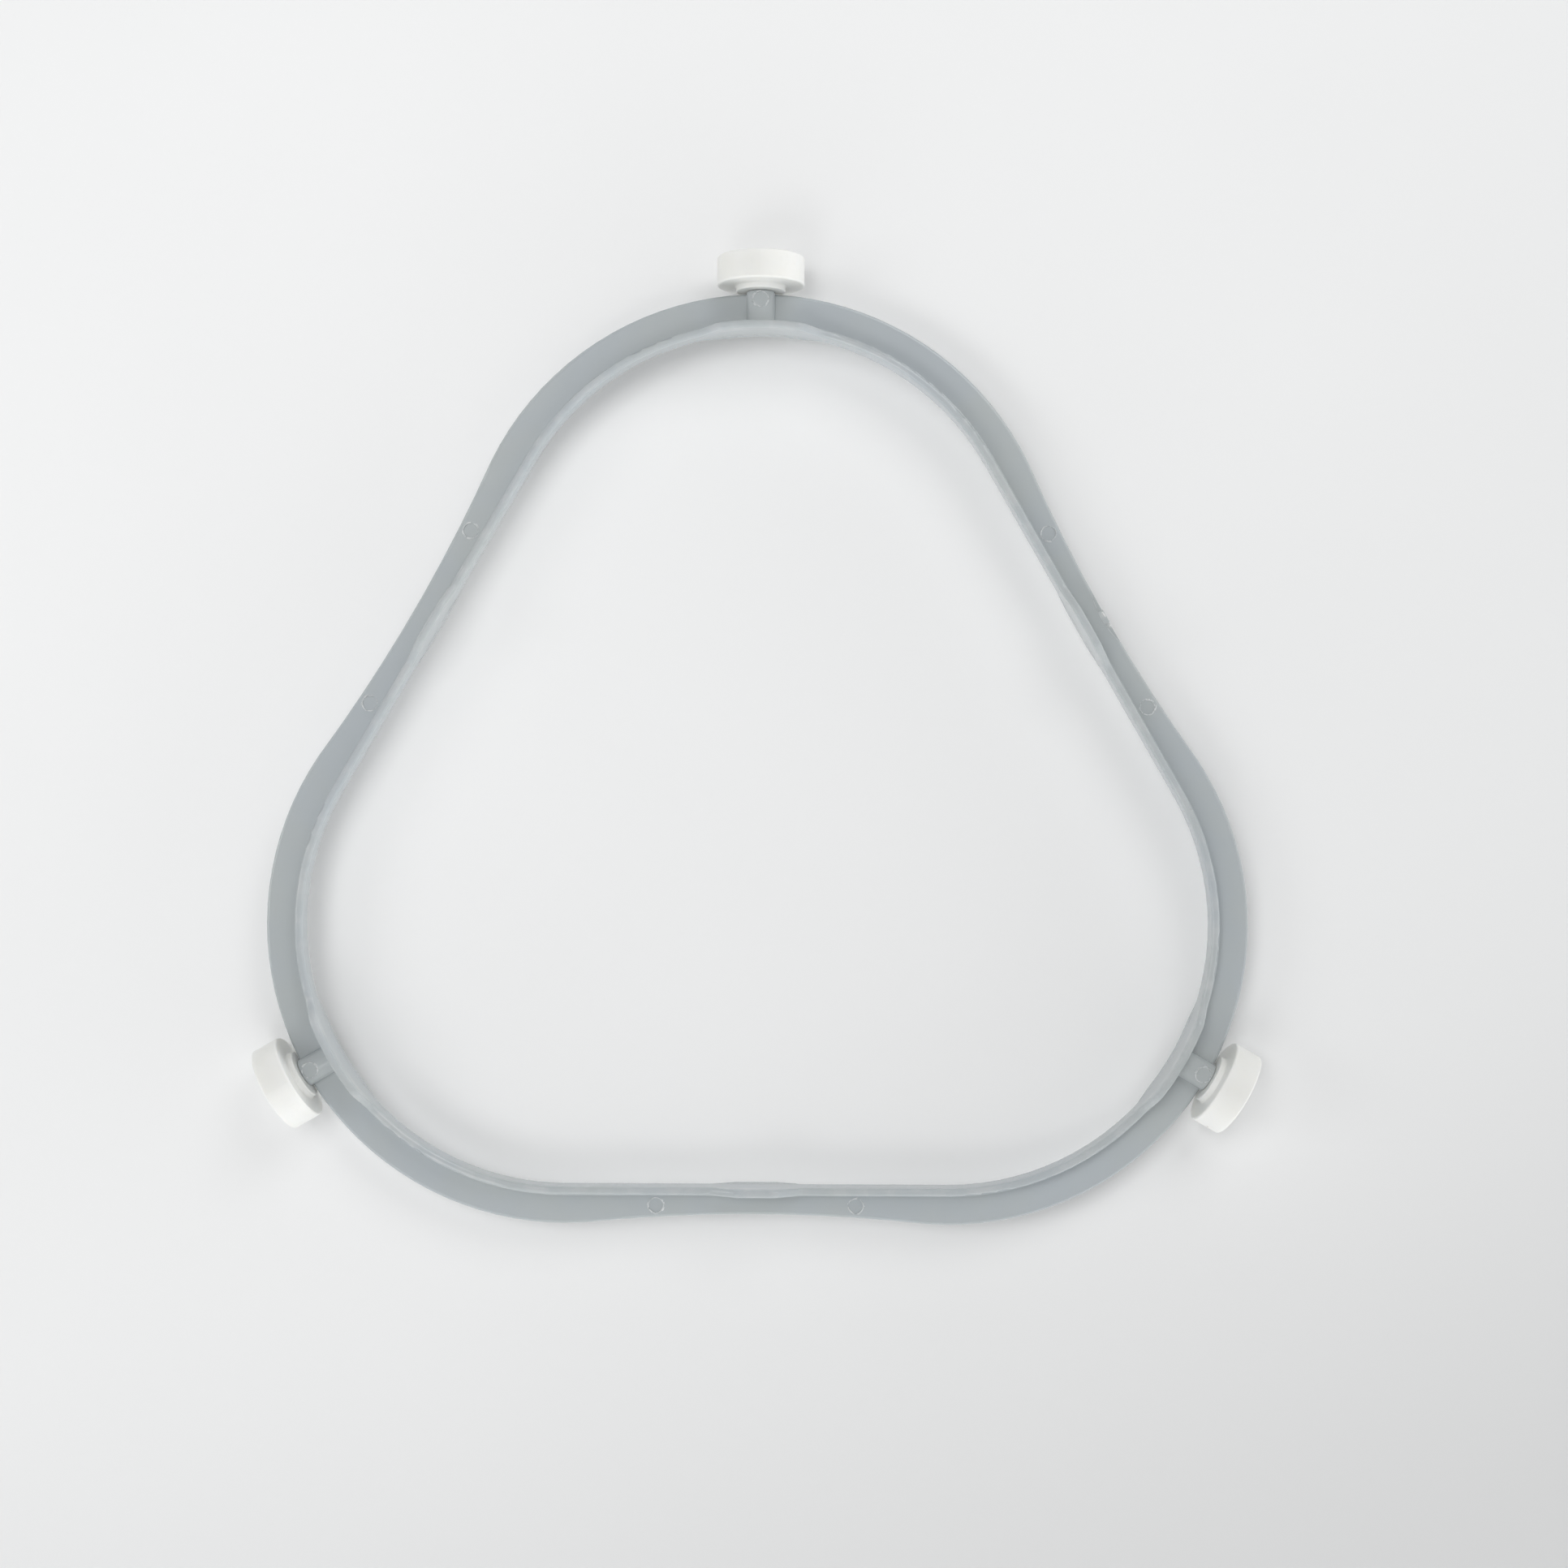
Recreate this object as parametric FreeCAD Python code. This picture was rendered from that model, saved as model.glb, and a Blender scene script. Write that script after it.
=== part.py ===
import FreeCAD, Part
import math
import os

from FreeCAD import Placement, Rotation, Vector

# Roller ring for a microwave oven's glass tray, in millimetres.
# The ring is one moulding: a flat flange with an upright rib on its inner edge, in a rounded
# triangle of three lobes. Each lobe carries a roller on a snap-headed axle that points outwards.
# The origin is on the oven floor, at the ring's centre, and +Z points up to the tray.

# Plan of the ring
LOBE_COUNT = 3
FIRST_LOBE_ANGLE = 90.0        # direction of the first lobe from +X, in degrees
LOBE_OFFSET = 36.5             # ring centre to the centre of a lobe's arcs
INNER_RADIUS = 42.9            # rib's inner face on a lobe
RIM_WIDTH = 6.5                # rib's inner face to the flange's outer edge, on a lobe
SIDE_RIM_WIDTH = 4.9           # the same at the middle of a side, where the edge is hollowed
SIDE_HOLLOW_LENGTH = 56.6      # straight length between the corners of that hollow

# Section of the ring
FLANGE_THICKNESS = 1.3
FLANGE_EDGE_RADIUS = 0.5       # rounding of the flange's outer top edge
RIB_THICKNESS = 1.3
RIB_RISE = 2.8                 # rib's top above the flange's top
RIB_EDGE_RADIUS = 0.5          # rounding of the rib's top on both sides
RIB_FOOT_RADIUS = 0.25         # rounding of its inner foot
RIB_ROOT_RADIUS = 0.6          # hollow rounding where the rib rises from the flange

# Bumps, where the rib stands taller and reaches lower
BUMP_RISE = 2.2                # above the rib's top
BUMP_DROP = 1.8                # below the rib's foot
SIDE_BUMP_CREST = 6.9          # length of the level top
SIDE_BUMP_RAMP = 4.0           # length of each sloping end
LOBE_BUMP_CREST = 13.8
LOBE_BUMP_RAMP = 3.1
BUMP_CORNER_RADIUS = 2.0

# Bosses and axles
BOSS_DIAMETER = 4.7
BOSS_PROUD = 0.1               # boss's end beyond the flange's outer edge
AXLE_DIAMETER = 3.2
SNAP_OVERLAP = 0.35            # snap head's edge beyond the axle, all round
HEAD_LAND = 0.35               # straight part of the head
HEAD_CONE = 0.85               # tapering part of the head
HEAD_TAPER = 0.6               # how much the cone closes in, on the radius
SLOT_WIDTH = 0.8               # slot that lets the two prongs of the head close
SLOT_LENGTH = 3.4

# Rollers
ROLLER_DIAMETER = 14.4
ROLLER_WIDTH = 4.7
ROLLER_EDGE_RADIUS = 0.3
COLLAR_DIAMETER = 8.1
COLLAR_LENGTH = 0.95
COLLAR_EDGE_RADIUS = 0.15
COLLAR_FOOT_RADIUS = 0.35      # where the collar meets the roller's inner face

# Clearances between a roller and its axle
RUNNING_CLEARANCE = 0.05       # axle in bore, on the radius
END_PLAY = 0.1                 # at the boss's end, and again behind the snap head
HEAD_CLEARANCE = 0.6           # snap head in its counterbore, on the radius
HEAD_RECESS = 0.25             # head's tip below the roller's outer face

# Marks of the ejector pins that push the moulding out
EJECTOR_DIAMETER = 2.5
EJECTOR_DEPTH = 0.1            # mark below the flange's top
EJECTOR_SPACING = 33.0         # between the two marks on a side
EJECTOR_FROM_RIB = 2.1         # mark's centre from the rib's outer face
BOSS_MARK_DEPTH = 0.15         # flat mark below the boss's crown
BOSS_MARK_INSET = 1.4          # mark's centre from the boss's end

# Gate, where the plastic entered the mould: a relief in the outer edge of one side
GATE_SIDE = 0                  # side that carries it, counted clockwise from the first lobe
GATE_RELIEF_LENGTH = 10.5
GATE_RELIEF_WIDTH = 0.85       # at its middle, from where it narrows to both ends
GATE_RELIEF_DEPTH = 0.25
GATE_STUB_WIDTH = 2.3
GATE_STUB_HEIGHT = 0.2
GATE_STUB_PROUD = 0.1          # broken stub beyond the outer edge

# Heights that follow
AXLE_HEIGHT = ROLLER_DIAMETER / 2
FLANGE_TOP = AXLE_HEIGHT
FLANGE_BOTTOM = FLANGE_TOP - FLANGE_THICKNESS
RIB_TOP = FLANGE_TOP + RIB_RISE
BUMP_TOP = RIB_TOP + BUMP_RISE
BUMP_BOTTOM = FLANGE_BOTTOM - BUMP_DROP

# Plan sizes that follow
LOBE_TURN = 360.0 / LOBE_COUNT
HALF_TURN = math.radians(LOBE_TURN / 2)
SIDE_LINE = LOBE_OFFSET * math.cos(HALF_TURN)     # ring centre to the line of two lobe centres
SIDE_HALF = LOBE_OFFSET * math.sin(HALF_TURN)     # half the straight part of a side
OUTER_RADIUS = INNER_RADIUS + RIM_WIDTH
RIB_MIDDLE_RADIUS = INNER_RADIUS + RIB_THICKNESS / 2
RIB_OUTER_RADIUS = INNER_RADIUS + RIB_THICKNESS
SIDE_EDGE = SIDE_LINE + INNER_RADIUS + SIDE_RIM_WIDTH
REACH = LOBE_OFFSET + OUTER_RADIUS                # ring centre to the flange's furthest edge

# Places along an axle that follow, measured from the ring's centre
BOSS_END = REACH + BOSS_PROUD
COLLAR_FACE = BOSS_END + END_PLAY
ROLLER_INNER_FACE = COLLAR_FACE + COLLAR_LENGTH
ROLLER_OUTER_FACE = ROLLER_INNER_FACE + ROLLER_WIDTH
HEAD_TIP = ROLLER_OUTER_FACE - HEAD_RECESS
HEAD_CONE_START = HEAD_TIP - HEAD_CONE
HEAD_SHOULDER = HEAD_CONE_START - HEAD_LAND
COUNTERBORE_FLOOR = HEAD_SHOULDER - END_PLAY

# Radii that follow
BOSS_RADIUS = BOSS_DIAMETER / 2
AXLE_RADIUS = AXLE_DIAMETER / 2
HEAD_RADIUS = AXLE_RADIUS + SNAP_OVERLAP
BORE_RADIUS = AXLE_RADIUS + RUNNING_CLEARANCE
COUNTERBORE_RADIUS = HEAD_RADIUS + HEAD_CLEARANCE
EJECTOR_RADIUS = EJECTOR_DIAMETER / 2

OVERCUT = 1.0                  # how far a cutter runs past the face that it enters by
ON_PLANE = 1e-6                # how near to a plane counts as lying on it
ROLLER_NAMES = ["roller_back", "roller_left", "roller_right"]


def turned(shape, angle):
    """Copy of a shape, turned about the ring's axis by an angle in degrees."""
    copy = shape.copy()
    copy.rotate(Vector(), Vector(0, 0, 1), angle)
    return copy


def lobe_angles():
    """Directions of the lobes from the ring's centre, counted anticlockwise."""
    return [FIRST_LOBE_ANGLE + index * LOBE_TURN for index in range(LOBE_COUNT)]


def side_angles():
    """Directions of the middles of the sides, counted clockwise from the first lobe."""
    return [FIRST_LOBE_ANGLE - (index + 0.5) * LOBE_TURN for index in range(LOBE_COUNT)]


def plan_point(outwards, along, angle):
    """Point at a distance outwards in a direction, and a length along, anticlockwise."""
    turn = Rotation(Vector(0, 0, 1), angle)
    return turn.multVec(Vector(outwards, along, 0))


def prism(edges, bottom, top):
    """Upright solid on a closed outline that is drawn at height 0."""
    face = Part.Face(Part.Wire(edges))
    face.translate(Vector(0, 0, bottom))
    return face.extrude(Vector(0, 0, top - bottom))


def outline(corners):
    """Closed outline through (point, radius) corners, rounded where the radius isn't 0."""
    edges = []
    joins = []
    count = len(corners)
    for index, (corner, radius) in enumerate(corners):
        to_last = (corners[index - 1][0] - corner).normalize()
        to_next = (corners[(index + 1) % count][0] - corner).normalize()
        half = to_last.getAngle(to_next) / 2
        run = radius / math.tan(half)
        start = corner + to_last * run
        end = corner + to_next * run
        joins.append((start, end))
        if radius > 0:
            inwards = (to_last + to_next).normalize()
            middle = corner + inwards * (radius / math.sin(half) - radius)
            edges.append(Part.Arc(start, middle, end).toShape())
    for index, (start, end) in enumerate(joins):
        following = joins[(index + 1) % count][0]
        edges.append(Part.LineSegment(end, following).toShape())
    return Part.Wire(Part.__sortEdges__(edges))


def lobed_outline(radius):
    """Lobe arcs of this radius, joined by straight sides that are tangent to them."""
    edges = []
    side = SIDE_LINE + radius
    for angle in lobe_angles():
        next_side = angle + LOBE_TURN / 2
        start = plan_point(side, SIDE_HALF, angle - LOBE_TURN / 2)
        crown = plan_point(LOBE_OFFSET + radius, 0, angle)
        end = plan_point(side, -SIDE_HALF, next_side)
        edges.append(Part.Arc(start, crown, end).toShape())
        edges.append(Part.LineSegment(end, plan_point(side, SIDE_HALF, next_side)).toShape())
    return edges


def hollow_corner():
    """Distance outwards and length along of the corner where a side's hollow meets a lobe."""
    along = SIDE_HOLLOW_LENGTH / 2
    outwards = SIDE_LINE + math.sqrt(OUTER_RADIUS ** 2 - (SIDE_HALF - along) ** 2)
    return outwards, along


def outer_outline():
    """Outer edge of the flange: lobe arcs joined by hollowed sides."""
    edges = []
    outwards, along = hollow_corner()
    for angle in lobe_angles():
        next_side = angle + LOBE_TURN / 2
        start = plan_point(outwards, along, angle - LOBE_TURN / 2)
        crown = plan_point(REACH, 0, angle)
        end = plan_point(outwards, -along, next_side)
        middle = plan_point(SIDE_EDGE, 0, next_side)
        following = plan_point(outwards, along, next_side)
        edges.append(Part.Arc(start, crown, end).toShape())
        edges.append(Part.Arc(end, middle, following).toShape())
    return edges


def make_flange():
    """Flat plate from inside the rib to the outer edge, with that edge's top rounded."""
    plate = prism(outer_outline(), FLANGE_BOTTOM, FLANGE_TOP)
    top_edges = [edge for edge in plate.Edges if edge.BoundBox.ZMin > FLANGE_TOP - ON_PLANE]
    plate = plate.makeFillet(min(FLANGE_EDGE_RADIUS, FLANGE_THICKNESS / 2), top_edges)
    return plate.cut(prism(lobed_outline(RIB_MIDDLE_RADIUS), FLANGE_BOTTOM, FLANGE_TOP))


def rib_band(bottom, top):
    """Wall of the rib's thickness, all round, between two heights."""
    outside = prism(lobed_outline(RIB_OUTER_RADIUS), bottom, top)
    return outside.cut(prism(lobed_outline(INNER_RADIUS), bottom, top))


def bump_shape(crest, ramp):
    """Side view of a bump with its ramps, extruded outwards along +X across the rib."""
    half_crest = crest / 2
    half_length = half_crest + ramp
    end = half_length + BUMP_CORNER_RADIUS
    upper = [(end, RIB_TOP, 0), (half_length, RIB_TOP, BUMP_CORNER_RADIUS)]
    upper.append((half_crest, BUMP_TOP, BUMP_CORNER_RADIUS))
    lower = [(half_crest, BUMP_BOTTOM, BUMP_CORNER_RADIUS)]
    lower += [(half_length, FLANGE_BOTTOM, BUMP_CORNER_RADIUS), (end, FLANGE_BOTTOM, 0)]
    right = upper + [(-along, height, radius) for along, height, radius in reversed(upper)]
    left = [(-along, height, radius) for along, height, radius in reversed(lower)] + lower
    corners = [(Vector(0, along, height), radius) for along, height, radius in right + left]
    return Part.Face(outline(corners)).extrude(Vector(REACH, 0, 0))


def rim_edges(rib, wanted):
    """Edges between the rib's walls and its caps for which wanted(on_top, on_inner_face) holds."""
    edges = []
    for edge in rib.Edges:
        middle = edge.valueAt((edge.FirstParameter + edge.LastParameter) / 2)
        normals = []
        for face in rib.ancestorsOfType(edge, Part.Face):
            normals.append(face.normalAt(*face.Surface.parameter(middle)))
        walls = [normal for normal in normals if abs(normal.z) < ON_PLANE]
        caps = [normal for normal in normals if abs(normal.z) >= ON_PLANE]
        if len(walls) == 1 and len(caps) == 1:
            if wanted(caps[0].z > 0, walls[0].dot(middle) < 0):
                edges.append(edge)
    return edges


def make_rib():
    """Upright rib on the ring's inner edge, taller and deeper at the bumps, with soft edges."""
    rib = rib_band(FLANGE_BOTTOM, RIB_TOP)
    tall = rib_band(BUMP_BOTTOM, BUMP_TOP)
    side_bump = bump_shape(SIDE_BUMP_CREST, SIDE_BUMP_RAMP)
    lobe_bump = bump_shape(LOBE_BUMP_CREST, LOBE_BUMP_RAMP)
    bumps = [tall.common(turned(side_bump, angle)) for angle in side_angles()]
    bumps += [tall.common(turned(lobe_bump, angle)) for angle in lobe_angles()]
    rib = rib.fuse(bumps).removeSplitter()
    top_radius = min(RIB_EDGE_RADIUS, 0.45 * RIB_THICKNESS)
    rib = rib.makeFillet(top_radius, rim_edges(rib, lambda on_top, on_inner: on_top))
    foot_radius = min(RIB_FOOT_RADIUS, RIB_THICKNESS / 3)
    return rib.makeFillet(foot_radius, rim_edges(rib, lambda on_top, on_inner: on_inner and not on_top))


def make_rim():
    """Flange and rib as one, with a hollow rounding all along the rib's root."""
    rim = make_flange().fuse(make_rib()).removeSplitter()
    root = Part.Wire(lobed_outline(RIB_OUTER_RADIUS)).translated(Vector(0, 0, FLANGE_TOP))
    root_edges = []
    for edge in rim.Edges:
        middle = edge.valueAt((edge.FirstParameter + edge.LastParameter) / 2)
        if Part.Vertex(middle).distToShape(root)[0] < ON_PLANE:
            root_edges.append(edge)
    return rim.makeFillet(min(RIB_ROOT_RADIUS, RIB_RISE / 2), root_edges)


def turned_solid(profile):
    """Solid of revolution about an axle along +X, from (place along it, radius, rounding)."""
    corners = [(Vector(place, 0, AXLE_HEIGHT + radius), rounding) for place, radius, rounding in profile]
    face = Part.Face(outline(corners))
    return face.revolve(Vector(0, 0, AXLE_HEIGHT), Vector(1, 0, 0), 360)


def make_axle():
    """Boss with its axle and split snap head, along +X from inside the rib."""
    axle = turned_solid([
        (LOBE_OFFSET + RIB_MIDDLE_RADIUS, 0, 0),
        (LOBE_OFFSET + RIB_MIDDLE_RADIUS, BOSS_RADIUS, 0),
        (BOSS_END, BOSS_RADIUS, 0),
        (BOSS_END, AXLE_RADIUS, 0),
        (HEAD_SHOULDER, AXLE_RADIUS, 0),
        (HEAD_SHOULDER, HEAD_RADIUS, 0),
        (HEAD_CONE_START, HEAD_RADIUS, 0),
        (HEAD_TIP, HEAD_RADIUS - HEAD_TAPER, 0),
        (HEAD_TIP, 0, 0),
    ])
    slot_corner = Vector(HEAD_TIP - SLOT_LENGTH, -SLOT_WIDTH / 2, AXLE_HEIGHT - BOSS_RADIUS)
    slot = Part.makeBox(SLOT_LENGTH + OVERCUT, SLOT_WIDTH, BOSS_DIAMETER, slot_corner)
    mark_top = AXLE_HEIGHT + BOSS_RADIUS - BOSS_MARK_DEPTH
    mark_centre = BOSS_END - BOSS_MARK_INSET
    mark = Part.makeCylinder(EJECTOR_RADIUS, mark_top - AXLE_HEIGHT, Vector(mark_centre, 0, AXLE_HEIGHT))
    above = Part.makeCylinder(EJECTOR_RADIUS, OVERCUT, Vector(mark_centre, 0, mark_top))
    return axle.cut(slot).cut(above).fuse(mark)


def ejector_marks():
    """Cutters for the shallow round marks on the flange, two on each side."""
    outwards = SIDE_LINE + RIB_OUTER_RADIUS + EJECTOR_FROM_RIB
    cutters = []
    for angle in side_angles():
        for along in (-EJECTOR_SPACING / 2, EJECTOR_SPACING / 2):
            foot = plan_point(outwards, along, angle) + Vector(0, 0, FLANGE_TOP - EJECTOR_DEPTH)
            cutters.append(Part.makeCylinder(EJECTOR_RADIUS, EJECTOR_DEPTH + OVERCUT, foot))
    return cutters


def gate_relief():
    """Cutter for the relief at the gate, a shallow lens out of the hollowed edge of a side at +X."""
    corner_out, corner_along = hollow_corner()
    depth = corner_out - SIDE_EDGE
    hollow_radius = (corner_along ** 2 + depth ** 2) / (2 * depth)
    half = GATE_RELIEF_LENGTH / 2
    rise = GATE_RELIEF_WIDTH + hollow_radius - math.sqrt(hollow_radius ** 2 - half ** 2)
    radius = (half ** 2 + rise ** 2) / (2 * rise)
    foot = Vector(SIDE_EDGE - GATE_RELIEF_WIDTH + radius, 0, FLANGE_TOP - GATE_RELIEF_DEPTH)
    return Part.makeCylinder(radius, GATE_RELIEF_DEPTH + OVERCUT, foot)


def gate_stub():
    """Broken stub left in the relief at +X, with its top sloping down to the outer edge."""
    floor = FLANGE_TOP - GATE_RELIEF_DEPTH
    back = SIDE_EDGE - GATE_RELIEF_WIDTH
    front = SIDE_EDGE + GATE_STUB_PROUD
    side = -GATE_STUB_WIDTH / 2
    corners = [
        (Vector(back, side, FLANGE_BOTTOM + FLANGE_THICKNESS / 2), 0),
        (Vector(front, side, FLANGE_BOTTOM + FLANGE_THICKNESS / 2), 0),
        (Vector(front, side, floor), 0),
        (Vector(back, side, floor + GATE_STUB_HEIGHT), 0),
    ]
    return Part.Face(outline(corners)).extrude(Vector(0, GATE_STUB_WIDTH, 0))


def make_ring():
    """Whole ring as one moulding: flange, rib, bosses with their axles, and moulding marks."""
    gate_angle = side_angles()[GATE_SIDE]
    rim = make_rim().cut(ejector_marks()).cut(turned(gate_relief(), gate_angle))
    axle = make_axle()
    added = [turned(gate_stub(), gate_angle)]
    added += [turned(axle, angle) for angle in lobe_angles()]
    return rim.fuse(added).removeSplitter()


def make_roller():
    """Roller on an axle along +X, with a collar towards the ring and a counterbore outside."""
    return turned_solid([
        (COLLAR_FACE, BORE_RADIUS, 0),
        (COLLAR_FACE, COLLAR_DIAMETER / 2, COLLAR_EDGE_RADIUS),
        (ROLLER_INNER_FACE, COLLAR_DIAMETER / 2, COLLAR_FOOT_RADIUS),
        (ROLLER_INNER_FACE, ROLLER_DIAMETER / 2, ROLLER_EDGE_RADIUS),
        (ROLLER_OUTER_FACE, ROLLER_DIAMETER / 2, ROLLER_EDGE_RADIUS),
        (ROLLER_OUTER_FACE, COUNTERBORE_RADIUS, COLLAR_EDGE_RADIUS),
        (COUNTERBORE_FLOOR, COUNTERBORE_RADIUS, 0),
        (COUNTERBORE_FLOOR, BORE_RADIUS, 0),
    ])


def main():
    """Build the ring and its rollers, and write one file for each."""
    os.makedirs("parts", exist_ok=True)
    nodes = {"ring_frame": make_ring()}
    roller = make_roller()
    for name, angle in zip(ROLLER_NAMES, lobe_angles()):
        nodes[name] = turned(roller, angle)
    for name, shape in nodes.items():
        box = shape.BoundBox
        print(name, "valid", shape.isValid(), "solids", len(shape.Solids), "volume", round(shape.Volume, 2),
              "size", round(box.XLength, 2), round(box.YLength, 2), round(box.ZLength, 2))
        shape.exportStep("parts/" + name + ".step")


main()
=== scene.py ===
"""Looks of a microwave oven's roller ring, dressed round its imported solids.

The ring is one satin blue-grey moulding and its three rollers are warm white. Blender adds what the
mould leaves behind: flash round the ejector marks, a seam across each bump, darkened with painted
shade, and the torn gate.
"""

import logging
import math
from dataclasses import dataclass
from enum import Enum

import bmesh
import bpy
from mathutils import Euler, Matrix, Vector, noise


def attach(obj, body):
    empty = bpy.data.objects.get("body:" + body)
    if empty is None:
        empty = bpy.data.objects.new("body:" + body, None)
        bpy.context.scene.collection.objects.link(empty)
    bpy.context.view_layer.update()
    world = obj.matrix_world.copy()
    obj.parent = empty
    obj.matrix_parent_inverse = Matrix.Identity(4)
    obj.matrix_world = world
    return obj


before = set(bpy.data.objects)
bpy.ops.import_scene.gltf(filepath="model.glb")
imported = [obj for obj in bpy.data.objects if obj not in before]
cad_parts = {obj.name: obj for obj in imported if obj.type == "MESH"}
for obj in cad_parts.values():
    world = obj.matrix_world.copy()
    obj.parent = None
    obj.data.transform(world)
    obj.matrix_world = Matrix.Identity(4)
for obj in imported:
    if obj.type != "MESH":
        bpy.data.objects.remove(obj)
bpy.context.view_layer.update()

MM = 0.001
PHOTO_SIDE = 1932
Colour = tuple[float, float, float]
Guide = list[tuple[list[Vector], bool]]

log = logging.getLogger("roller_ring")


class Body(Enum):
    """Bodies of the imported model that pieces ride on."""

    RING = "ring"


class Slot(Enum):
    """Material slots of the record."""

    RING = "ring_plastic"
    ROLLER = "roller_plastic"


class Field:
    """Output socket that Python's operators work on, each of them adding a Math node."""

    def __init__(self, nodes: "Nodes", socket: bpy.types.NodeSocket | None) -> None:
        """Keep the socket with the tree that it belongs to."""
        self.nodes = nodes
        self.socket = socket

    def maths(self, operation: str, *operands: "Field | float") -> "Field":
        """Add a Math node with these operands in order."""
        return self.nodes.add("ShaderNodeMath", {"operation": operation}, dict(enumerate(operands)))

    def __add__(self, other: "Field | float") -> "Field":
        """Sum of the two."""
        return self.maths("ADD", self, other)

    def __radd__(self, other: float) -> "Field":
        """Sum of the two."""
        return self.maths("ADD", other, self)

    def __sub__(self, other: "Field | float") -> "Field":
        """This less the other."""
        return self.maths("SUBTRACT", self, other)

    def __rsub__(self, other: float) -> "Field":
        """The other less this."""
        return self.maths("SUBTRACT", other, self)

    def __mul__(self, other: "Field | float") -> "Field":
        """Product of the two."""
        return self.maths("MULTIPLY", self, other)

    def __rmul__(self, other: float) -> "Field":
        """Product of the two."""
        return self.maths("MULTIPLY", other, self)

    def __truediv__(self, other: "Field | float") -> "Field":
        """This over the other."""
        return self.maths("DIVIDE", self, other)

    def __rtruediv__(self, other: float) -> "Field":
        """The other over this."""
        return self.maths("DIVIDE", other, self)

    def __abs__(self) -> "Field":
        """Size of the value, without its sign."""
        return self.maths("ABSOLUTE", self)

    def __gt__(self, other: "Field | float") -> "Field":
        """1 where this is the greater, and 0 elsewhere."""
        return self.maths("GREATER_THAN", self, other)

    def root(self) -> "Field":
        """Square root of the value."""
        return self.maths("SQRT", self)

    def rise(self, low: float, high: float) -> "Field":
        """Smooth step from 0 at low to 1 at high.

        Args:
            low: Value at and below which the step is 0.
            high: Value at and above which the step is 1.

        Returns:
            The step as a new value.
        """
        settings = {"interpolation_type": "SMOOTHSTEP"}
        return self.nodes.add("ShaderNodeMapRange", settings, {0: self, 1: low, 2: high})

    def other(self, output: str) -> "Field":
        """Another output of the same node."""
        return Field(self.nodes, self.socket.node.outputs[output])


class Nodes:
    """A shader or geometry tree that is filled from Python."""

    def __init__(self, tree: bpy.types.NodeTree) -> None:
        """Start with an empty tree."""
        self.tree = tree
        tree.nodes.clear()

    def add(
        self,
        kind: str,
        settings: dict[str, object] | None = None,
        sockets: dict[str | int, object] | None = None,
        output: str | int = 0,
    ) -> Field:
        """Add a node.

        Args:
            kind: Blender's type name of the node.
            settings: Properties of the node, which are set before its sockets.
            sockets: Values or links of its inputs, by name or by place.
            output: The output that is wanted, by name or by place.

        Returns:
            That output.
        """
        node = self.tree.nodes.new(kind)
        for name, value in (settings or {}).items():
            setattr(node, name, value)
        for key, value in (sockets or {}).items():
            if isinstance(value, Field):
                self.tree.links.new(value.socket, node.inputs[key])
            else:
                node.inputs[key].default_value = value
        return Field(self, node.outputs[output] if node.outputs else None)

    def mix(self, factor: Field | float, first: Field | Colour, second: Field | Colour) -> Field:
        """Blend two colours.

        Args:
            factor: Share of the second colour.
            first: Colour at factor 0.
            second: Colour at factor 1.

        Returns:
            The blended colour.
        """
        ends = [end if isinstance(end, Field) else (*end, 1.0) for end in (first, second)]
        sockets = {0: factor, 6: ends[0], 7: ends[1]}
        return self.add("ShaderNodeMix", {"data_type": "RGBA"}, sockets, 2)

    def cloud(self, place: Field, grain: float, detail: float = 2.0, shift: float = 0.0) -> Field:
        """Noise whose blobs are about one grain across.

        Args:
            place: Coordinates that the noise is read at.
            grain: Size of the blobs, in metres.
            detail: Octaves of finer noise.
            shift: Fourth coordinate, which picks another pattern.

        Returns:
            Value from about 0.25 to 0.75.
        """
        sockets = {"Vector": place, "W": shift, "Scale": 1.0 / grain, "Detail": detail}
        return self.add("ShaderNodeTexNoise", {"noise_dimensions": "4D"}, sockets)


class Shading(Nodes):
    """Material with one Principled shader."""

    def __init__(self, name: str) -> None:
        """Make the empty material and its object coordinates.

        Args:
            name: Name of the material.
        """
        self.material = bpy.data.materials.new(name)
        self.material.use_nodes = True
        super().__init__(self.material.node_tree)
        self.place = self.add("ShaderNodeTexCoord", output="Object")
        self.x = self.add("ShaderNodeSeparateXYZ", sockets={0: self.place})
        self.y = self.x.other("Y")
        self.z = self.x.other("Z")

    def bump(self, height: Field, strength: float, depth: float) -> Field:
        """Normal that is roughened by a height.

        Args:
            height: Relief from 0 to 1.
            strength: Share of the relief that shows.
            depth: Real depth of the relief, in metres.

        Returns:
            The normal.
        """
        sockets = {"Height": height, "Strength": strength, "Distance": depth}
        return self.add("ShaderNodeBump", sockets=sockets)

    def spot(self, centre: Vector, inner: float, outer: float) -> Field:
        """Round mark about a point on the piece.

        Args:
            centre: Middle of the mark, in metres.
            inner: Radius that is wholly marked.
            outer: Radius where the mark ends.

        Returns:
            1 in the mark and 0 outside it.
        """
        settings = {"operation": "DISTANCE"}
        away = self.add("ShaderNodeVectorMath", settings, {0: self.place, 1: centre}, "Value")
        return 1 - away.rise(inner, outer)

    def finish(self, sockets: dict[str, object]) -> bpy.types.Material:
        """Close the material with its shader.

        Args:
            sockets: Values or links of the shader's inputs.

        Returns:
            The finished material.
        """
        shader = self.add("ShaderNodeBsdfPrincipled", sockets=sockets)
        self.add("ShaderNodeOutputMaterial", sockets={"Surface": shader})
        return self.material


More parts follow.
